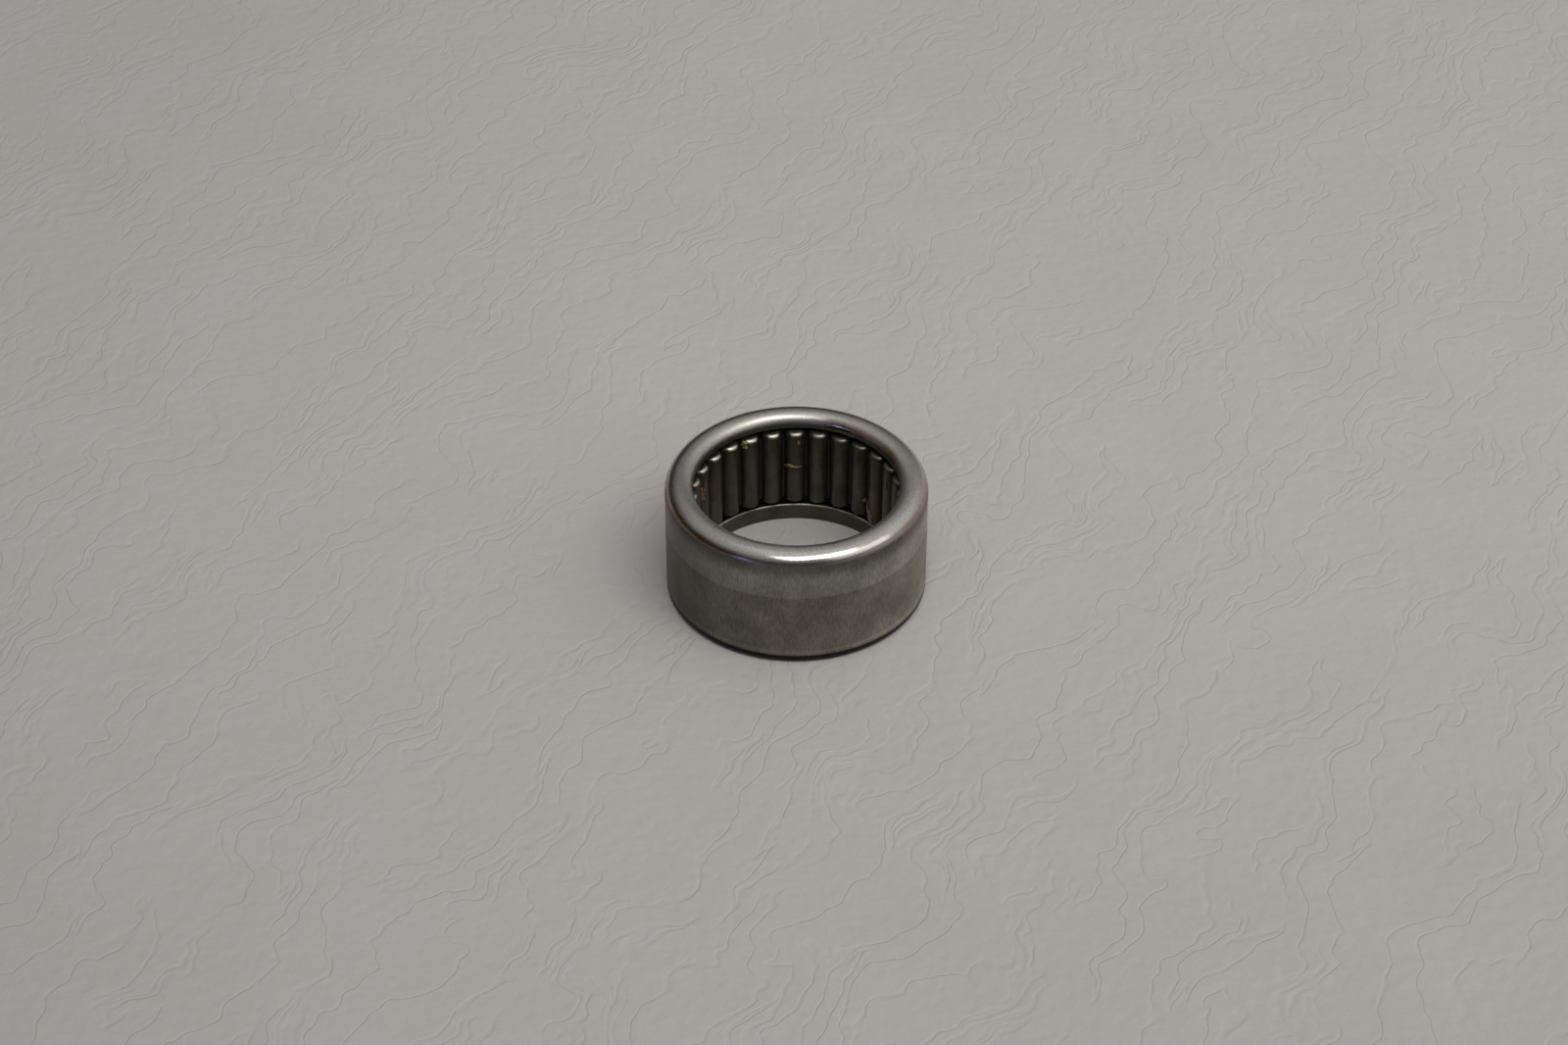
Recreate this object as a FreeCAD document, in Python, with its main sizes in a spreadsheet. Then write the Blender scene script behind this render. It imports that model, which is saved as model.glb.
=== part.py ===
"""Needle roller bearing: a drawn steel cup with turned-in lips, a cage and its needle rollers.

Millimetres, +Z up along the bearing's axis.  The origin is the middle of the lower end face.
Every sub-part is a body of its own, and every size comes from the spreadsheet "dims".
"""
import FreeCAD, Part
import math
import os

import Sketcher

TOLERANCE = 1e-4
BASE = "base"  # stands for a height of zero, on the lower end face

# alias: (value, what it is).  Lengths are in millimetres and angles in degrees.
DIMENSIONS = {
    "cup_diameter": (38.1, "outer diameter of the cup, 1 1/2 in"),
    "cup_width": (19.05, "width over both lips, 3/4 in"),
    "bore_diameter": (28.575, "circle inside the rollers, 1 1/8 in"),
    "roller_diameter": (3.175, "needle roller diameter, 1/8 in"),
    "roller_length": (12.7, "needle roller length, 1/2 in"),
    "roller_corner": (0.6, "rounding at the roller's ends"),
    "roller_count": (28, "rollers round the bearing"),
    "first_angle": (90.75, "direction of the first roller from +X"),
    "running_play": (0.02, "radial room between roller and raceway"),
    "lip_bore_diameter": (29.9, "opening inside the lips"),
    "lip_thickness": (1.5875, "sheet thickness in the lips, 1/16 in"),
    "drawn_depth": (2.75, "how far the lower lip reaches in from its end face"),
    "lip_edge": (0.2, "rounding of a lip's inner end"),
    "rolled_outer": (2.25, "outer rounding of the upper lip, which is rolled over last"),
    "rolled_inner": (1.6, "inner rounding of the upper lip"),
    "drawn_outer": (1.0, "outer rounding of the lower lip, which is drawn with the cup"),
    "drawn_inner": (0.25, "inner rounding of the lower lip"),
    "cage_play": (0.18, "radial room between cage and raceway"),
    "bar_bore_diameter": (30.6, "circle inside the cage's bars"),
    "ring_bore_diameter": (31.9, "opening inside the cage's end rings"),
    "skirt_bore_diameter": (33.5, "inside of the skirt that runs behind a lip"),
    "ring_thickness": (0.5, "axial thickness of the cage's end rings"),
    "ring_gap": (0.1, "axial room between the cage's ring and the lip's end"),
    "skirt_gap": (0.25, "axial room between the cage's skirt and the lip's web"),
    "bar_step": (0.9, "how far a bar's inner part stops short of its pocket's end"),
    "pocket_play": (0.0625, "radial room between roller and pocket"),
    "pocket_end_play": (0.1, "axial room between roller and pocket at each end"),
}

# alias: (formula, what it is), worked out by the spreadsheet from the cells above.
DERIVED = {
    "cup_radius": ("cup_diameter / 2", "outside of the cup"),
    "lip_radius": ("lip_bore_diameter / 2", "inside of the lips"),
    "lip_back_radius": ("lip_radius + lip_thickness", "back of the lips' turned-in ends"),
    "raceway_radius": ("bore_diameter / 2 + roller_diameter + running_play", "raceway"),
    "upper_web": ("cup_width - lip_thickness", "underside of the upper lip's web"),
    "pitch_radius": ("(bore_diameter + roller_diameter) / 2", "circle through the rollers' axes"),
    "roller_radius": ("roller_diameter / 2", "radius of a roller"),
    "roller_step": ("360 / roller_count", "angle from one roller to the next"),
    "pocket_radius": ("roller_radius + pocket_play", "radius of a cage pocket"),
    "ring_bottom": ("drawn_depth + ring_gap", "lower face of the lower end ring"),
    "pocket_bottom": ("ring_bottom + ring_thickness", "lower end of a pocket"),
    "pocket_length": ("roller_length + 2 * pocket_end_play", "length of a pocket"),
    "pocket_top": ("pocket_bottom + pocket_length", "upper end of a pocket"),
    "ring_top": ("pocket_top + ring_thickness", "upper face of the upper end ring"),
    "roller_bottom": ("pocket_bottom + pocket_end_play", "lower end of a roller"),
    "rolled_end": ("ring_top + ring_gap", "inner end of the upper lip"),
    "cage_radius": ("raceway_radius - cage_play", "outside of the cage"),
    "skirt_radius": ("skirt_bore_diameter / 2", "inside of the cage's skirts"),
    "ring_radius": ("ring_bore_diameter / 2", "inside of the cage's end rings"),
    "bar_radius": ("bar_bore_diameter / 2", "inside of the cage's bars"),
    "skirt_bottom": ("lip_thickness + skirt_gap", "lower end of the cage"),
    "skirt_top": ("cup_width - skirt_bottom", "upper end of the cage"),
    "bar_bottom": ("pocket_bottom + bar_step", "lower end of the bars' inner part"),
    "bar_top": ("pocket_top - bar_step", "upper end of the bars' inner part"),
}

# Half cross-sections, as corners (distance from the axis, height).
CUP_SECTION = [
    ("cup_radius", BASE),
    ("cup_radius", "cup_width"),
    ("lip_radius", "cup_width"),
    ("lip_radius", "rolled_end"),
    ("lip_back_radius", "rolled_end"),
    ("lip_back_radius", "upper_web"),
    ("raceway_radius", "upper_web"),
    ("raceway_radius", "lip_thickness"),
    ("lip_back_radius", "lip_thickness"),
    ("lip_back_radius", "drawn_depth"),
    ("lip_radius", "drawn_depth"),
    ("lip_radius", BASE),
]
CAGE_SECTION = [
    ("cage_radius", "skirt_bottom"),
    ("cage_radius", "skirt_top"),
    ("skirt_radius", "skirt_top"),
    ("skirt_radius", "ring_top"),
    ("ring_radius", "ring_top"),
    ("ring_radius", "bar_top"),
    ("bar_radius", "bar_top"),
    ("bar_radius", "bar_bottom"),
    ("ring_radius", "bar_bottom"),
    ("ring_radius", "ring_bottom"),
    ("skirt_radius", "ring_bottom"),
    ("skirt_radius", "skirt_bottom"),
]


def make_sheet(doc):
    """Fill the spreadsheet: name, value and note in columns A, B and C."""
    sheet = doc.addObject("Spreadsheet::Sheet", "dims")
    rows = [(alias, str(value), note) for alias, (value, note) in DIMENSIONS.items()]
    rows += [(alias, "=" + formula, note) for alias, (formula, note) in DERIVED.items()]
    for row, (alias, content, note) in enumerate(rows, start=1):
        sheet.set(f"A{row}", alias)
        sheet.set(f"B{row}", content)
        sheet.set(f"C{row}", note)
        sheet.setAlias(f"B{row}", alias)
    doc.recompute()
    return sheet


def make_body(doc, name):
    """Add the body of one sub-part, whose label names its file."""
    body = doc.addObject("PartDesign::Body", name)
    body.Label = name
    return body


def origin_feature(body, role):
    return next(item for item in body.Origin.OriginFeatures if item.Role == role)


def add_sketch(body, name, plane_role):
    """Add an empty sketch on one of the body's own origin planes."""
    sketch = body.newObject("Sketcher::SketchObject", name)
    sketch.AttachmentSupport = [(origin_feature(body, plane_role), "")]
    sketch.MapMode = "FlatFace"
    return sketch


def bind_constraint(sketch, constraint, alias):
    """Add a constraint and let the spreadsheet drive its value."""
    index = sketch.addConstraint(constraint)
    sketch.setExpression(f"Constraints[{index}]", "dims." + alias)


def draw_section(sketch, corners, sheet):
    """Draw a closed outline of straight lines whose corners follow the spreadsheet."""
    points = [
        FreeCAD.Vector(sheet.get(across), 0 if up == BASE else sheet.get(up), 0)
        for across, up in corners
    ]
    lines = [Part.LineSegment(*ends) for ends in zip(points, points[1:] + points[:1])]
    for line in lines:
        sketch.addGeometry(line, False)
    for line, (across, up) in enumerate(corners):
        follower = (line + 1) % len(lines)
        sketch.addConstraint(Sketcher.Constraint("Coincident", line, 2, follower, 1))
        bind_constraint(
            sketch, Sketcher.Constraint("DistanceX", -1, 1, line, 1, points[line].x), across)
        if up == BASE:
            sketch.addConstraint(Sketcher.Constraint("PointOnObject", line, 1, -1))
        else:
            bind_constraint(
                sketch, Sketcher.Constraint("DistanceY", -1, 1, line, 1, points[line].y), up)


def revolve_section(doc, body, corners, sheet):
    """Turn a half cross-section once round the bearing's axis."""
    sketch = add_sketch(body, body.Name + "_section", "XZ_Plane")
    draw_section(sketch, corners, sheet)
    turned = body.newObject("PartDesign::Revolution", body.Name + "_turned")
    turned.Profile = sketch
    turned.ReferenceAxis = (sketch, ["V_Axis"])
    turned.Angle = 360
    doc.recompute()
    return turned


def circle_edges(shape, radius, height):
    """Name the full circles of this radius whose centre is at this height."""
    names = []
    for index, edge in enumerate(shape.Edges, start=1):
        if not isinstance(edge.Curve, Part.Circle):
            continue
        same_radius = abs(edge.Curve.Radius - radius) < TOLERANCE
        same_height = abs(edge.Curve.Center.z - height) < TOLERANCE
        if same_radius and same_height:
            names.append(f"Edge{index}")
    return names


def round_edges(doc, body, name, circles, radius_alias, sheet):
    """Round the circles given as (radius alias, height alias) pairs."""
    base = body.Tip
    edges = []
    for radius, height in circles:
        level = 0 if height == BASE else sheet.get(height)
        edges += circle_edges(base.Shape, sheet.get(radius), level)
    if len(edges) != len(circles):
        raise RuntimeError(f"{name}: expected {len(circles)} edges, found {len(edges)}")
    rounding = body.newObject("PartDesign::Fillet", name)
    rounding.Base = (base, edges)
    rounding.setExpression("Radius", "dims." + radius_alias)
    doc.recompute()
    body.Tip = rounding


def make_cup(doc, sheet):
    """The outer cup: raceway, straight seat and a hooked lip at each end, in one sheet of steel."""
    body = make_body(doc, "outer_cup")
    revolve_section(doc, body, CUP_SECTION, sheet)
    round_edges(doc, body, "rolled_lip_outside",
                [("cup_radius", "cup_width")], "rolled_outer", sheet)
    round_edges(doc, body, "rolled_lip_inside",
                [("lip_radius", "cup_width")], "rolled_inner", sheet)
    round_edges(doc, body, "drawn_lip_outside", [("cup_radius", BASE)], "drawn_outer", sheet)
    round_edges(doc, body, "drawn_lip_inside", [("lip_radius", BASE)], "drawn_inner", sheet)
    lip_ends = [(radius, height) for radius in ("lip_radius", "lip_back_radius")
                for height in ("rolled_end", "drawn_depth")]
    round_edges(doc, body, "lip_ends", lip_ends, "lip_edge", sheet)
    return body


def make_cage(doc, sheet):
    """The cage: two end rings with a skirt behind each lip, and a bar between every two rollers."""
    body = make_body(doc, "cage")
    turned = revolve_section(doc, body, CAGE_SECTION, sheet)

    sketch = add_sketch(body, "pocket_circle", "XY_Plane")
    sketch.setExpression("AttachmentOffset.Base.z", "dims.pocket_bottom")
    angle = math.radians(sheet.first_angle)
    centre = FreeCAD.Vector(math.cos(angle), math.sin(angle), 0) * sheet.pitch_radius
    normal = FreeCAD.Vector(0, 0, 1)
    sketch.addGeometry(Part.Circle(centre, normal, sheet.pocket_radius), False)
    bind_constraint(sketch, Sketcher.Constraint("Radius", 0, sheet.pocket_radius), "pocket_radius")
    across = sketch.addConstraint(Sketcher.Constraint("DistanceX", -1, 1, 0, 3, centre.x))
    along = sketch.addConstraint(Sketcher.Constraint("DistanceY", -1, 1, 0, 3, centre.y))
    sketch.setExpression(f"Constraints[{across}]", "dims.pitch_radius * cos(dims.first_angle)")
    sketch.setExpression(f"Constraints[{along}]", "dims.pitch_radius * sin(dims.first_angle)")
    doc.recompute()

    pocket = body.newObject("PartDesign::Pocket", "first_pocket")
    pocket.Profile = sketch
    pocket.Type = "Length"
    pocket.setExpression("Length", "dims.pocket_length")
    pocket.Reversed = True
    doc.recompute()
    one_pocket = turned.Shape.Volume - pocket.Shape.Volume
    if one_pocket < TOLERANCE:
        raise RuntimeError("the first cage pocket cuts nothing")

    pockets = body.newObject("PartDesign::PolarPattern", "pockets")
    pockets.Originals = [pocket]
    pockets.Axis = (origin_feature(body, "Z_Axis"), [""])
    pockets.Angle = 360
    pockets.setExpression("Occurrences", "dims.roller_count")
    body.Tip = pockets
    doc.recompute()
    all_pockets = turned.Shape.Volume - pockets.Shape.Volume
    if abs(all_pockets / one_pocket - sheet.roller_count) > 0.01:
        raise RuntimeError("the cage doesn't have a pocket for every roller")
    return body


def make_roller(doc, sheet, number):
    """One needle roller, flat at both ends with rounded corners, standing in its pocket."""
    body = make_body(doc, f"needle_roller_{number:02d}")
    sketch = add_sketch(body, f"roller_circle_{number:02d}", "XY_Plane")
    circle = Part.Circle(FreeCAD.Vector(0, 0, 0), FreeCAD.Vector(0, 0, 1), sheet.roller_radius)
    sketch.addGeometry(circle, False)
    sketch.addConstraint(Sketcher.Constraint("Coincident", 0, 3, -1, 1))
    bind_constraint(sketch, Sketcher.Constraint("Radius", 0, sheet.roller_radius), "roller_radius")
    needle = body.newObject("PartDesign::Pad", f"needle_{number:02d}")
    needle.Profile = sketch
    needle.setExpression("Length", "dims.roller_length")
    doc.recompute()

    rims = [edge for level in (0, sheet.roller_length)
            for edge in circle_edges(needle.Shape, sheet.roller_radius, level)]
    corners = body.newObject("PartDesign::Fillet", f"roller_corners_{number:02d}")
    corners.Base = (needle, rims)
    corners.setExpression("Radius", "dims.roller_corner")
    body.Tip = corners

    angle = f"(dims.first_angle - {number - 1} * dims.roller_step)"
    body.setExpression("Placement.Base.x", f"dims.pitch_radius * cos{angle}")
    body.setExpression("Placement.Base.y", f"dims.pitch_radius * sin{angle}")
    body.setExpression("Placement.Base.z", "dims.roller_bottom")
    doc.recompute()
    return body


def check_document(doc, bodies):
    """Stop if any object failed to build or any sub-part isn't one valid solid."""
    for item in doc.Objects:
        if "Invalid" in item.State or "Error" in item.State:
            raise RuntimeError(f"{item.Name} failed: {item.State}")
    for body in bodies:
        shape = body.Shape
        if shape.isNull() or not shape.isValid() or len(shape.Solids) != 1:
            raise RuntimeError(f"{body.Label} isn't one valid solid")


def check_clearance(bodies, sheet):
    """Stop if the first roller touches the cup, the cage or its neighbour."""
    cup, cage, first, second = bodies[:4]
    for other in (cup, cage, second):
        gap = first.Shape.distToShape(other.Shape)[0]
        print(f"{first.Label} to {other.Label}: {gap:.4f} mm")
        if gap < sheet.running_play - TOLERANCE:
            raise RuntimeError(f"{first.Label} runs too close to {other.Label}")
    gap = cage.Shape.distToShape(cup.Shape)[0]
    print(f"cage to outer_cup: {gap:.4f} mm")
    if gap < sheet.running_play:
        raise RuntimeError("the cage rubs on the cup")


def main():
    doc = FreeCAD.newDocument("needle_roller_bearing")
    sheet = make_sheet(doc)
    bodies = [make_cup(doc, sheet), make_cage(doc, sheet)]
    for number in range(1, int(sheet.roller_count) + 1):
        bodies.append(make_roller(doc, sheet, number))
    doc.recompute()
    check_document(doc, bodies)
    check_clearance(bodies, sheet)

    os.makedirs("parts", exist_ok=True)
    for body in bodies:
        body.Shape.exportStep(f"parts/{body.Label}.step")
    steel_volume = sum(body.Shape.Volume for body in bodies)
    print(f"{len(bodies)} sub-parts, {steel_volume:.1f} mm3")


main()
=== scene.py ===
import math
import random

import bmesh
import bpy
from mathutils import Matrix, Vector


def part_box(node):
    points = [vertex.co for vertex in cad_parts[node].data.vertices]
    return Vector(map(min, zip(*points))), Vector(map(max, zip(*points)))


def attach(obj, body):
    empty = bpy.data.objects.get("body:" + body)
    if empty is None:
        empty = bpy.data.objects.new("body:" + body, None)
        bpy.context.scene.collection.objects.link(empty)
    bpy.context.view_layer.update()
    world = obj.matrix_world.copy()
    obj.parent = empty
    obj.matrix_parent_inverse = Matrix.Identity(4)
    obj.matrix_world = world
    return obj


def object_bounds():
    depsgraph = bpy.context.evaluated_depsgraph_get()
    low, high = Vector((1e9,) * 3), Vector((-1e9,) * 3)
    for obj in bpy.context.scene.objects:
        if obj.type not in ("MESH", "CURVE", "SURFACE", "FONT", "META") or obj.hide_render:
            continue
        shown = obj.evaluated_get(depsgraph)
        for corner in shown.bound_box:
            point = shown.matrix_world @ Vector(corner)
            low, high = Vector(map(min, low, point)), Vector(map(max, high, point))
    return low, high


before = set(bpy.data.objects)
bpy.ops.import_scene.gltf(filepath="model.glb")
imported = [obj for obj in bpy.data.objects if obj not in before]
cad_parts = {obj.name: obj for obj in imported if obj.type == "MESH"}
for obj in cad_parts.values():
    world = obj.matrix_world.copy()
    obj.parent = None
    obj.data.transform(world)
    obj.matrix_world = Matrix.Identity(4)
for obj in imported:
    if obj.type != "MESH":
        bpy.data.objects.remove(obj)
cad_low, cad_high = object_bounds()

# Metres throughout.  The bearing stands on the floor, its axis along +Z.
MM = 0.001
CENTRE = (cad_low + cad_high) / 2
WIDTH = cad_high.z - cad_low.z
ROLLERS = sorted(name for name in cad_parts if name.startswith("needle_roller"))


# ---------------------------------------------------------------- material graphs


class Graph:
    """Builds one node tree.  Sockets and plain numbers can both be operands."""

    def __init__(self, tree, coordinates):
        self.tree = tree
        self.tree.nodes.clear()
        place = self.tree.nodes.new("ShaderNodeTexCoord")
        self.position = place.outputs[coordinates]
        self.x, self.y, self.z = self.split(self.position)

    def feed(self, socket, value):
        if isinstance(value, bpy.types.NodeSocket):
            self.tree.links.new(value, socket)
        else:
            socket.default_value = value

    def split(self, vector):
        node = self.tree.nodes.new("ShaderNodeSeparateXYZ")
        self.feed(node.inputs[0], vector)
        return node.outputs[0], node.outputs[1], node.outputs[2]

    def join(self, x, y, z):
        node = self.tree.nodes.new("ShaderNodeCombineXYZ")
        for socket, value in zip(node.inputs, (x, y, z)):
            self.feed(socket, value)
        return node.outputs[0]

    def math(self, operation, *values):
        node = self.tree.nodes.new("ShaderNodeMath")
        node.operation = operation
        for socket, value in zip(node.inputs, values):
            self.feed(socket, value)
        return node.outputs[0]

    def add(self, a, b):
        return self.math("ADD", a, b)

    def times(self, a, b):
        return self.math("MULTIPLY", a, b)

    def most(self, a, b):
        return self.math("MAXIMUM", a, b)

    def less(self, share):
        """1 minus share."""
        return self.math("SUBTRACT", 1.0, share)

    def blend(self, share, first, second):
        """A number between first and second."""
        return self.add(self.times(self.less(share), first), self.times(share, second))

    def ramp(self, value, low, high, start=0.0, end=1.0):
        """start below low, end above high, and smooth in between."""
        node = self.tree.nodes.new("ShaderNodeMapRange")
        node.interpolation_type = "SMOOTHSTEP"
        node.clamp = True
        for name, number in (("Value", value), ("From Min", low), ("From Max", high),
                             ("To Min", start), ("To Max", end)):
            self.feed(node.inputs[name], number)
        return node.outputs["Result"]

    def fade(self, value, low, high):
        """1 below low, 0 above high, and smooth in between."""
        return self.ramp(value, low, high, 1.0, 0.0)

    def window(self, value, low, high, soft):
        """1 between low and high, and 0 outside, with soft edges."""
        rising = self.ramp(value, low - soft, low + soft)
        falling = self.fade(value, high - soft, high + soft)
        return self.times(rising, falling)

    def radius(self):
        """The distance from the bearing's axis."""
        squares = self.add(self.times(self.x, self.x), self.times(self.y, self.y))
        return self.math("SQRT", squares)

    def noise(self, vector, scale, detail=3.0, roughness=0.55):
        node = self.tree.nodes.new("ShaderNodeTexNoise")
        self.feed(node.inputs["Vector"], vector)
        node.inputs["Scale"].default_value = scale
        node.inputs["Detail"].default_value = detail
        node.inputs["Roughness"].default_value = roughness
        return node.outputs["Fac"]

    def stretched(self, across, along):
        """The position, scaled by across in X and Y and by along in Z."""
        return self.join(self.times(self.x, across), self.times(self.y, across),
                         self.times(self.z, along))

    def mix(self, share, first, second, blend_type="MIX"):
        """A colour between first and second, or another blend of the two."""
        node = self.tree.nodes.new("ShaderNodeMix")
        node.data_type = "RGBA"
        node.blend_type = blend_type
        self.feed(node.inputs["Factor"], share)
        colours = [socket for socket in node.inputs if socket.type == "RGBA"]
        for socket, colour in zip(colours, (first, second)):
            if isinstance(colour, tuple):
                colour = (*colour, 1)
            self.feed(socket, colour)
        return next(socket for socket in node.outputs if socket.type == "RGBA")

    def shade(self, colour, amount):
        """colour, made darker or lighter by a number round 1."""
        return self.mix(1.0, colour, self.join(amount, amount, amount), "MULTIPLY")


class Finish(Graph):
    """One surface material: a node tree that ends in a Principled shader."""

    def __init__(self, name):
        self.material = bpy.data.materials.new(name)
        self.material.use_nodes = True
        super().__init__(self.material.node_tree, "Object")
        output = self.tree.nodes.new("ShaderNodeOutputMaterial")
        self.shader = self.tree.nodes.new("ShaderNodeBsdfPrincipled")
        self.tree.links.new(self.shader.outputs["BSDF"], output.inputs["Surface"])

    def bump(self, height, depth, strength=1.0):
        node = self.tree.nodes.new("ShaderNodeBump")
        node.inputs["Strength"].default_value = strength
        node.inputs["Distance"].default_value = depth
        self.feed(node.inputs["Height"], height)
        self.feed(self.shader.inputs["Normal"], node.outputs["Normal"])

    def set(self, **values):
        """Set the shader's sockets, named with underscores for spaces."""
        for name, value in values.items():
            socket = self.shader.inputs[name.replace("_", " ")]
            if socket.type == "RGBA" and isinstance(value, tuple) and len(value) == 3:
                value = (*value, 1)
            self.feed(socket, value)


# ---------------------------------------------------------------- materials

WALL_STEEL = (0.284, 0.271, 0.243)
DULL_STEEL = (0.205, 0.190, 0.158)
LIP_STEEL = (0.520, 0.500, 0.470)
STRAW_TINT = (0.300, 0.160, 0.065)
PLUM_TINT = (0.300, 0.235, 0.270)
ROLLER_STEEL = (0.088, 0.087, 0.063)
# the inside's colour: grease, darkened further as painted shade
GREASY_SHADED_STEEL = (0.075, 0.073, 0.053)
# painted highlight: the bright colour of the rollers' glints
ROLLER_GLINT_STEEL = (0.500, 0.485, 0.415)
CAGE_STEEL = (0.010, 0.010, 0.007)
OIL_TINT = (0.060, 0.052, 0.026)
# black: grease blotches on the cage, and painted shade at the foot and on the ledge
DIRT_AND_SHADE_BLACK = (0.006, 0.005, 0.004)
HONEY_GREASE = (0.400, 0.320, 0.100)
AMBER_GREASE = (0.190, 0.120, 0.034)
RUST_GREASE = (0.260, 0.112, 0.040)
FLOOR_WARM = (0.500, 0.481, 0.464)
FLOOR_COOL = (0.494, 0.481, 0.472)

# Places on the cup.  Heights are above the floor, and radii are from the axis.
BAND_TOP = 0.62 * WIDTH         # the dull lower band of the wall ends here
LIP_START = WIDTH - 1.75 * MM   # the rolled lip's polish starts here
FOOT_SHADE_HEIGHT = 1.45 * MM                # painted shade sits round the foot up to here
INSIDE = 17.7 * MM              # nearer to the axis than this is the inside
LEDGE = (2.55 * MM, 2.90 * MM)  # the drawn lip's upper face lies between these heights
OPENING_EDGE = 15.1 * MM        # its painted highlight ends here, and the painted shade on its ledge begins

FILM_STEP = Vector((0.37, 0.61, 0.83))  # moves the grease film's pattern from roller to roller
TO_LIGHT = Vector((0.25, -0.45))        # how far the rollers' painted glints turn towards the light


def cup_heat_tints(g, radius, colour):
    """Brown and plum hardening tints on the shoulder and the inner roll of the rolled lip."""
    uneven = g.ramp(g.noise(g.position, 420.0, 4.0, 0.6), 0.34, 0.62)
    shoulder = g.times(g.window(g.z, WIDTH - 1.6 * MM, WIDTH - 0.8 * MM, 0.25 * MM),
                       g.ramp(radius, 17.6 * MM, 18.1 * MM))
    left_front = g.times(g.fade(g.x, -9.5 * MM, -5.5 * MM), g.fade(g.y, 2.0 * MM, 5.0 * MM))
    right_side = g.times(g.ramp(g.x, 9.0 * MM, 15.5 * MM), 0.6)
    straw = g.times(g.times(shoulder, g.most(left_front, right_side)), g.blend(uneven, 0.6, 1.0))
    inner_roll = g.times(g.fade(radius, 15.6 * MM, 16.4 * MM),
                         g.window(g.z, WIDTH - 1.5 * MM, WIDTH - 0.45 * MM, 0.3 * MM))
    inner_side = g.times(g.ramp(g.x, 2.0 * MM, 8.0 * MM), g.ramp(g.y, 0.0 * MM, 5.0 * MM))
    straw = g.most(straw, g.times(g.times(inner_roll, inner_side), g.blend(uneven, 0.35, 0.9)))
    front = g.times(shoulder, g.window(g.x, -6.0 * MM, 11.0 * MM, 3.0 * MM))
    colour = g.mix(g.times(front, 0.5), colour, PLUM_TINT)
    return g.mix(straw, colour, STRAW_TINT)


def cup_wall(g, draw_lines, grain, patches, lower_band, painted_edge_highlight):
    """The seat: speckled along its draw lines, dull below, and painted light and shade on it."""
    colour = g.mix(lower_band, WALL_STEEL, DULL_STEEL)
    speckle = g.add(g.times(draw_lines, 0.65), g.times(grain, 0.35))
    speckle = g.ramp(speckle, 0.34, 0.66, 0.76, 1.26)
    colour = g.shade(colour, g.times(speckle, g.ramp(patches, 0.3, 0.7, 0.82, 1.18)))
    # painted highlight: a brighter line just above the foot
    colour = g.shade(colour, g.blend(painted_edge_highlight, 1.0, 1.3))
    # painted shade: darker towards the left, away from the light
    colour = g.shade(colour, g.ramp(g.x, -19.0 * MM, -3.0 * MM, 0.45, 0.90))
    # painted light: brighter towards the right, where the side light falls
    colour = g.shade(colour, g.ramp(g.x, 4.0 * MM, 19.0 * MM, 1.0, 1.40))
    # painted light: the lit floor's glow, reflected low on the wall's right side
    painted_floor_glow = g.times(g.fade(g.z, 2.0 * MM, 6.0 * MM), g.ramp(g.x, 3.0 * MM, 12.0 * MM))
    colour = g.shade(colour, g.blend(painted_floor_glow, 1.0, 1.28))
    # painted shade: darker towards the top of the wall, under the lip's shoulder
    return g.shade(colour, g.ramp(g.z, WIDTH - 4.6 * MM, WIDTH - 2.2 * MM, 1.0, 0.50))


def cup_rolled_lip(g, radius, grain):
    """Satin steel with hardening tints, with painted light on the right and painted shade on the
    left.
    """
    colour = g.shade(LIP_STEEL, g.ramp(grain, 0.3, 0.7, 0.86, 1.12))
    # painted light: brighter towards the right, where the side light falls
    colour = g.shade(colour, g.ramp(g.x, 7.0 * MM, 16.0 * MM, 1.0, 1.16))
    # painted shade: dimmer at the far left
    colour = g.shade(colour, g.ramp(g.x, -18.5 * MM, -14.0 * MM, 0.86, 1.0))
    return cup_heat_tints(g, radius, colour)


def cup_inside(g, radius):
    """Greasy, shaded steel.  On the drawn lip's upper face, a painted highlight and painted shade.
    """
    film = g.noise(g.position, 330.0, 4.0, 0.6)
    colour = g.shade(g.mix(film, GREASY_SHADED_STEEL, OIL_TINT), g.ramp(film, 0.3, 0.7, 0.7, 1.2))
    upper_face = g.window(g.z, *LEDGE, 0.08 * MM)
    # painted highlight: the upper face's edge made bright where it catches light
    edge = g.fade(radius, OPENING_EDGE - 0.05 * MM, OPENING_EDGE + 0.05 * MM)
    edge = g.times(g.times(upper_face, edge), g.ramp(film, 0.36, 0.60, 0.25, 0.9))
    # painted shade: the ledge behind the edge darkened, under the rollers
    ledge = g.ramp(radius, OPENING_EDGE + 0.02 * MM, OPENING_EDGE + 0.15 * MM)
    ledge = g.times(upper_face, ledge)
    return g.mix(g.times(ledge, 0.85), g.mix(edge, colour, LIP_STEEL), DIRT_AND_SHADE_BLACK)


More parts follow.
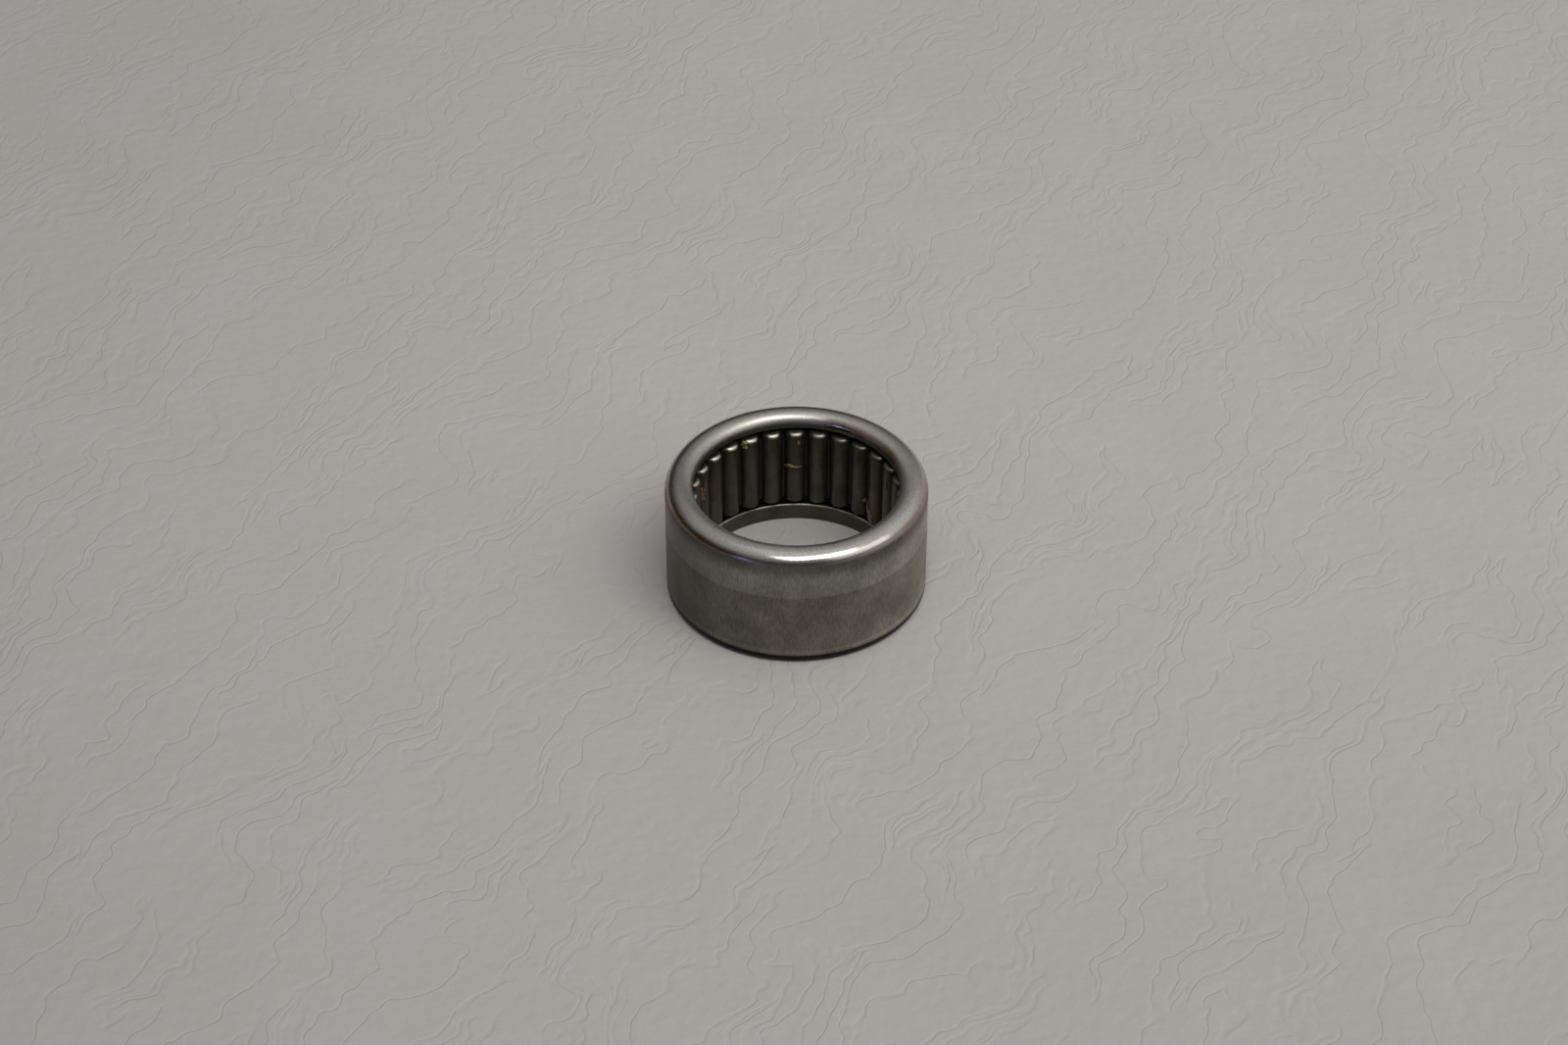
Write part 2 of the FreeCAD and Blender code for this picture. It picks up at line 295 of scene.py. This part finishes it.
def cup_steel():
    """Drawn and hardened steel: fine upright draw lines on the seat, a satin rolled lip."""
    g = Finish("cup_steel")
    radius = g.radius()
    draw_lines = g.noise(g.stretched(5200.0, 900.0), 1.0, 4.0, 0.6)
    grain = g.noise(g.position, 3600.0, 5.0, 0.6)
    patches = g.noise(g.position, 210.0, 3.0, 0.5)
    rings = g.noise(g.join(g.times(radius, 5200.0), 0.0, g.times(g.z, 5200.0)), 1.0, 3.0, 0.6)

    on_lip = g.ramp(g.z, LIP_START, LIP_START + 0.65 * MM)
    band_edge = g.add(g.z, g.times(g.add(patches, -0.5), 0.5 * MM))
    lower_band = g.fade(band_edge, BAND_TOP - 0.22 * MM, BAND_TOP + 0.22 * MM)
    inside = g.fade(radius, INSIDE - 0.1 * MM, INSIDE + 0.1 * MM)
    outside = g.less(inside)
    # grease and painted shade: the inside goes dark below the lip's inner roll
    grease_and_shade = g.times(inside, g.fade(g.z, WIDTH - 2.5 * MM, WIDTH - 1.3 * MM))
    off_floor = g.less(g.fade(g.z, 0.06 * MM, 0.3 * MM))
    # painted shade: the foot's rounded corner darkened to stand for the contact shadow
    foot = g.fade(g.z, FOOT_SHADE_HEIGHT - 0.2 * MM, FOOT_SHADE_HEIGHT + 0.1 * MM)
    foot = g.times(g.times(foot, outside), off_floor)
    # painted highlight: a brighter line just above the foot, where the lower edge catches light
    painted_edge_highlight = g.times(g.window(g.z, FOOT_SHADE_HEIGHT + 0.3 * MM, FOOT_SHADE_HEIGHT + 0.8 * MM, 0.15 * MM), outside)

    wall = cup_wall(g, draw_lines, grain, patches, lower_band, painted_edge_highlight)
    colour = g.mix(on_lip, wall, cup_rolled_lip(g, radius, grain))
    colour = g.mix(g.times(grease_and_shade, off_floor), colour, cup_inside(g, radius))
    # painted shade round the foot
    colour = g.mix(g.times(foot, 0.9), colour, DIRT_AND_SHADE_BLACK)

    wall_rough = g.add(g.times(grain, 0.18), g.times(draw_lines, 0.14))
    wall_rough = g.add(g.add(wall_rough, g.times(lower_band, 0.05)), 0.22)
    clean_spot = g.times(g.window(g.x, 4.6 * MM, 8.2 * MM, 1.0 * MM),
                         g.ramp(g.y, 9.0 * MM, 11.0 * MM))
    smeared = g.times(g.ramp(radius, 15.4 * MM, 16.8 * MM, 0.22, 0.0), g.less(clean_spot))
    lip_rough = g.add(g.times(rings, 0.10), g.add(g.times(patches, 0.08), 0.09))
    lip_rough = g.add(lip_rough, smeared)
    polished = g.most(on_lip, inside)
    rough = g.blend(polished, wall_rough, lip_rough)
    g.set(Base_Color=colour, Metallic=g.blend(grease_and_shade, 1.0, 0.5), Roughness=rough)

    wall_relief = g.add(g.times(draw_lines, 0.6), g.times(grain, 0.5))
    lip_relief = g.add(g.times(rings, 0.12), g.times(grain, 0.10))
    g.bump(g.blend(polished, wall_relief, lip_relief), 0.03 * MM, 0.55)
    return g.material


def roller_steel(number, name):
    """Ground steel under an uneven film of dark grease, which the number shifts on each roller.

    Its upper end has a painted glint on the side that faces the light, fainter further right.
    """
    g = Finish(f"roller_steel_{number:02d}")
    low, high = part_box(name)
    middle = (low + high) / 2
    radius = (high.x - low.x) / 2
    offset = FILM_STEP * number
    moved = g.join(g.add(g.x, offset.x), g.add(g.y, offset.y), g.add(g.z, offset.z))
    film = g.noise(moved, 260.0, 4.0, 0.6)
    drawn_out = g.join(g.times(g.x, 900.0), g.times(g.y, 900.0),
                       g.add(g.times(g.z, 120.0), offset.z))
    streak = g.noise(drawn_out, 1.0, 3.0, 0.5)
    lapping = g.noise(g.stretched(1500.0, 9000.0), 1.0, 2.0, 0.5)
    colour = g.mix(g.ramp(film, 0.42, 0.68, 0.0, 0.7), ROLLER_STEEL, OIL_TINT)
    colour = g.shade(colour, g.ramp(streak, 0.3, 0.7, 0.8, 1.2))
    # painted shade: darker towards the roller's lower end
    colour = g.shade(colour, g.ramp(g.z, low.z, low.z + 6.0 * MM, 0.80, 1.0))

    towards = Vector((-middle.x, -middle.y)).normalized() + TO_LIGHT
    towards = towards.normalized() / radius
    from_x, from_y = g.add(g.x, -middle.x), g.add(g.y, -middle.y)
    facing = g.add(g.times(from_x, towards.x), g.times(from_y, towards.y))
    aside = g.add(g.times(from_x, -towards.y), g.times(from_y, towards.x))
    # painted highlight: a glint on the upper end, fainter to the right, where the lip shades it
    glint_strength = min(1.0, max(0.10, 0.74 - 0.09 * middle.x / MM))
    lit_from = 0.20 + 0.028 * max(0.0, -middle.x / MM)
    painted_glint = g.ramp(g.z, high.z - 0.7 * MM, high.z - 0.35 * MM)
    painted_glint = g.times(painted_glint, g.ramp(facing, lit_from, lit_from + 0.30, 0.0, glint_strength))
    painted_glint = g.times(painted_glint, g.fade(g.math("ABSOLUTE", aside), 0.38, 0.62))

    colour = g.mix(painted_glint, colour, ROLLER_GLINT_STEEL)
    rough = g.add(g.times(film, 0.14), g.add(g.times(lapping, 0.06), 0.24))
    g.set(Base_Color=colour, Metallic=g.blend(painted_glint, 0.8, 1.0),
          Roughness=g.blend(painted_glint, rough, 0.40))
    g.bump(g.add(g.times(lapping, 0.3), film), 0.008 * MM, 0.4)
    return g.material


def cage_steel():
    """Thin steel strip, nearly black, with darker blotches of grease."""
    g = Finish("cage_steel")
    film = g.noise(g.position, 420.0, 5.0, 0.6)
    fine = g.noise(g.position, 5200.0, 3.0, 0.5)
    colour = g.mix(g.ramp(film, 0.45, 0.7), CAGE_STEEL, DIRT_AND_SHADE_BLACK)
    colour = g.shade(colour, g.ramp(fine, 0.3, 0.7, 0.75, 1.2))
    g.set(Base_Color=colour, Metallic=0.5, Roughness=g.add(g.times(film, 0.3), 0.32))
    g.bump(g.add(film, g.times(fine, 0.3)), 0.03 * MM, 0.5)
    return g.material


def floor_vinyl():
    """Pale grey sheet, leathery grain and long creases, with painted shade left and in front."""
    g = Finish("floor_vinyl")
    cells = g.tree.nodes.new("ShaderNodeTexVoronoi")
    cells.feature = "SMOOTH_F1"
    g.feed(cells.inputs["Vector"], g.position)
    cells.inputs["Scale"].default_value = 520.0
    broad = g.noise(g.position, 45.0, 3.0, 0.5)
    fine = g.noise(g.position, 900.0, 4.0, 0.6)
    along = g.add(g.times(g.x, 0.45), g.times(g.y, 0.89))
    across = g.add(g.times(g.x, 0.89), g.times(g.y, -0.45))
    warped = g.add(across, g.times(broad, 0.030))
    folds = g.noise(g.join(g.times(along, 26.0), g.times(warped, 150.0), 0.0), 1.0, 2.0, 0.5)
    crease = g.window(folds, 0.485, 0.515, 0.018)
    tone = g.add(g.times(fine, 0.06), g.add(g.times(broad, 0.10), 0.92))
    # painted shade: the light falls off towards the front and the left
    tone = g.times(tone, g.ramp(g.y, -0.12, 0.06, 0.92, 1.03))
    tone = g.times(tone, g.ramp(g.x, -0.14, -0.01, 0.89, 1.0))
    colour = g.shade(g.mix(broad, FLOOR_WARM, FLOOR_COOL), tone)
    g.set(Base_Color=colour, Roughness=0.62, Specular_IOR_Level=0.25)
    relief = g.add(g.times(cells.outputs["Distance"], 1.3), g.times(fine, 1.0))
    g.bump(g.add(relief, g.times(crease, -0.8)), 0.16 * MM, 0.6)
    return g.material


def give(node, material):
    """Make this the CAD node's only material."""
    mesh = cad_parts[node].data
    mesh.materials.clear()
    mesh.materials.append(material)


def dress_bearing():
    give("outer_cup", cup_steel())
    give("cage", cage_steel())
    for number, name in enumerate(ROLLERS, start=1):
        give(name, roller_steel(number, name))


# ---------------------------------------------------------------- grease


def grease(name, colour):
    """Old grease: soft and glossy, with darker dirt worked into it."""
    g = Finish(name)
    clots = g.noise(g.position, 2600.0, 4.0, 0.6)
    colour = g.mix(g.ramp(clots, 0.40, 0.62), colour, OIL_TINT)
    g.set(Base_Color=colour, Roughness=g.add(g.times(clots, 0.2), 0.2), Subsurface_Weight=0.1,
          Subsurface_Radius=(0.2 * MM, 0.15 * MM, 0.1 * MM), Coat_Weight=0.5)
    g.bump(clots, 0.03 * MM, 0.6)
    return g.material


def dab_rim(angle, waves):
    """How far the ragged rim of a dab reaches in this direction, 1 on average."""
    return 1 + sum(size * math.cos(order * angle + phase) for order, size, phase in waves)


def make_dab(name, roller, height, turn, wide, tall, material, lean):
    """A thin ragged dab of grease on the open side of a roller, its back just clear of the steel.

    height is that of the dab's middle above the roller's lower end.  turn is the angle round the
    roller from the side that faces the axis, in degrees, and lean tilts the dab, in radians.  The
    cage holds the grease and carries it round.
    """
    rings, spokes = 6, 36
    film, gap = 0.16 * MM, 0.05 * MM
    low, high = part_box(ROLLERS[roller - 1])
    middle = (low + high) / 2
    surface = (high.x - low.x) / 2 + gap
    inward = Vector((-middle.x, -middle.y, 0)).normalized()
    right = Vector((0, 0, 1)).cross(inward)
    draws = random.Random(name)
    waves = [(order, draws.uniform(-0.75, 0.75) / order, draws.uniform(0, math.tau))
             for order in range(2, 9)]

    def place(across, up, rise):
        angle = math.radians(turn) + across / surface
        side = inward * math.cos(angle) + right * math.sin(angle)
        return Vector((middle.x, middle.y, low.z + height + up)) + side * (surface + rise)

    shell = bmesh.new()
    skins = []
    for rise_scale in (1.0, 0.0):
        skin = [[shell.verts.new(place(0, 0, film * rise_scale))] * spokes]
        for ring in range(1, rings + 1):
            share = ring / rings
            row = []
            for spoke in range(spokes):
                angle = math.tau * spoke / spokes
                reach = share * dab_rim(angle, waves)
                level = wide / 2 * reach * math.cos(angle)
                upright = tall / 2 * reach * math.sin(angle)
                across = level * math.cos(lean) - upright * math.sin(lean)
                up = level * math.sin(lean) + upright * math.cos(lean)
                lumpy = 1 + 0.35 * math.sin(5 * angle + 9 * share + waves[0][2])
                rise = film * rise_scale * math.sqrt(1 - share * share) * lumpy
                row.append(shell.verts.new(place(across, up, rise)))
            skin.append(row)
        skins.append(skin)
    front, back = skins
    for vertex in back[rings]:
        shell.verts.remove(vertex)
    back[rings] = front[rings]
    for skin, flip in ((front, False), (back, True)):
        for inner, outer in zip(skin, skin[1:]):
            for spoke in range(spokes):
                after = (spoke + 1) % spokes
                corners = [inner[spoke], outer[spoke], outer[after], inner[after]]
                corners = list(dict.fromkeys(corners))
                shell.faces.new(reversed(corners) if flip else corners).smooth = True
    mesh = bpy.data.meshes.new(name)
    shell.to_mesh(mesh)
    shell.free()
    mesh.materials.append(material)
    dab = bpy.data.objects.new(name, mesh)
    bpy.context.scene.collection.objects.link(dab)
    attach(dab, "cage")


def add_grease():
    """The dabs and strings of grease that the rollers have wiped off.  Roller 1 is at the back."""
    honey = grease("grease_honey", HONEY_GREASE)
    amber = grease("grease_amber", AMBER_GREASE)
    rust = grease("grease_rust", RUST_GREASE)
    # name, roller, height in mm, turn, width and tallness in mm, material, lean
    dabs = (("grease_string_middle", 1, 6.75, -10, 3.0, 0.34, amber, 0.03),
            ("grease_dab_middle", 1, 6.95, -26, 1.20, 0.60, honey, 0.0),
            ("grease_speck_top", 1, 11.2, 20, 0.40, 0.80, honey, 0.4),
            ("grease_dab_left", 27, 12.0, -48, 1.30, 1.10, honey, 0.6),
            ("grease_string_left", 24, 8.7, -47, 0.70, 3.60, rust, 0.12),
            ("grease_dab_far_left", 24, 9.2, -31, 0.40, 2.40, rust, -0.15),
            ("grease_curl_low", 5, 1.5, -8, 1.20, 2.20, rust, 0.70),
            ("grease_curl_high", 5, 2.6, -44, 1.05, 2.20, rust, 0.50),
            ("grease_curl_tip", 4, 3.1, 56, 0.90, 0.70, amber, 0.2),
            ("grease_speck_right", 6, 9.8, 22, 0.45, 1.50, amber, 0.2),
            ("grease_speck_far_right", 7, 7.6, 30, 0.40, 1.60, amber, -0.2))
    for name, roller, height, turn, wide, tall, material, lean in dabs:
        make_dab(name, roller, height * MM, turn, wide * MM, tall * MM, material, lean)


# ---------------------------------------------------------------- floor, light and camera


def direction(azimuth, elevation):
    """A unit vector, from degrees.  Azimuth 0 is the viewer's side, -Y, and 90 is +X."""
    a, e = math.radians(azimuth), math.radians(elevation)
    return Vector((math.sin(a) * math.cos(e), -math.cos(a) * math.cos(e), math.sin(e)))


def make_floor():
    """A wide sheet at the height of the bearing's lower face."""
    size = 1.6
    mesh = bpy.data.meshes.new("floor")
    shell = bmesh.new()
    bmesh.ops.create_grid(shell, x_segments=8, y_segments=8, size=size / 2)
    shell.to_mesh(mesh)
    shell.free()
    mesh.materials.append(floor_vinyl())
    floor = bpy.data.objects.new("floor", mesh)
    floor.location = (CENTRE.x, CENTRE.y, cad_low.z)
    bpy.context.scene.collection.objects.link(floor)


def make_light(name, azimuth, elevation, distance, size, radiance, colour):
    """A rectangular soft light facing the bearing.  size is (width, height) in metres."""
    light = bpy.data.lights.new(name, "AREA")
    light.shape = "RECTANGLE"
    light.size, light.size_y = size
    light.energy = radiance * math.pi * size[0] * size[1]
    light.color = colour
    lamp = bpy.data.objects.new(name, light)
    away = direction(azimuth, elevation)
    lamp.location = CENTRE + away * distance
    lamp.rotation_mode = "QUATERNION"
    lamp.rotation_quaternion = away.to_track_quat("Z", "Y")
    bpy.context.scene.collection.objects.link(lamp)


def make_world():
    """Soft room light: dim at the horizon, pale overhead, and a broad glow from the right."""
    world = bpy.data.worlds.new("studio")
    world.use_nodes = True
    g = Graph(world.node_tree, "Generated")
    sky = g.add(g.ramp(g.z, 0.20, 0.90, 0.05, 0.43), g.ramp(g.z, 0.85, 1.0, 0.0, 0.30))
    glow = g.ramp(g.add(g.x, g.times(g.y, 0.08)), 0.05, 0.95, 0.0, 0.35)
    background = g.tree.nodes.new("ShaderNodeBackground")
    output = g.tree.nodes.new("ShaderNodeOutputWorld")
    background.inputs["Color"].default_value = (1.0, 0.985, 0.965, 1.0)
    g.feed(background.inputs["Strength"], g.add(sky, glow))
    g.tree.links.new(background.outputs[0], output.inputs["Surface"])
    bpy.context.scene.world = world


def make_camera():
    """Long lens, looking down at the bearing from the front."""
    elevation, distance, lens = 37.6, 0.5, 78.75
    aim_left, aim_up = 1.8 * MM, 1.0 * MM
    back = direction(0, elevation)
    right = Vector((1, 0, 0))
    up = back.cross(right)
    camera = bpy.data.objects.new("camera", bpy.data.cameras.new("camera"))
    camera.data.lens = lens
    camera.data.sensor_width = 36
    camera.data.clip_start = 0.01
    camera.location = CENTRE + back * distance - right * aim_left + up * aim_up
    camera.rotation_mode = "QUATERNION"
    camera.rotation_quaternion = Matrix((right, up, back)).transposed().to_quaternion()
    bpy.context.scene.collection.objects.link(camera)
    bpy.context.scene.camera = camera


def light_studio():
    """A large soft light overhead, a weaker one on the right, and a small blue one, low left."""
    warm, blue = (1.0, 0.98, 0.95), (0.34, 0.34, 1.0)
    make_world()
    make_light("key", 24, 60, 1.80, (1.50, 0.75), 3.7, warm)
    make_light("side", 60, 38, 1.80, (1.60, 0.90), 0.8, warm)
    make_light("accent", -43, 5, 0.45, (0.045, 0.045), 7.0, blue)


dress_bearing()
add_grease()
make_floor()
light_studio()
make_camera()
bpy.context.scene.view_settings.view_transform = "Standard"
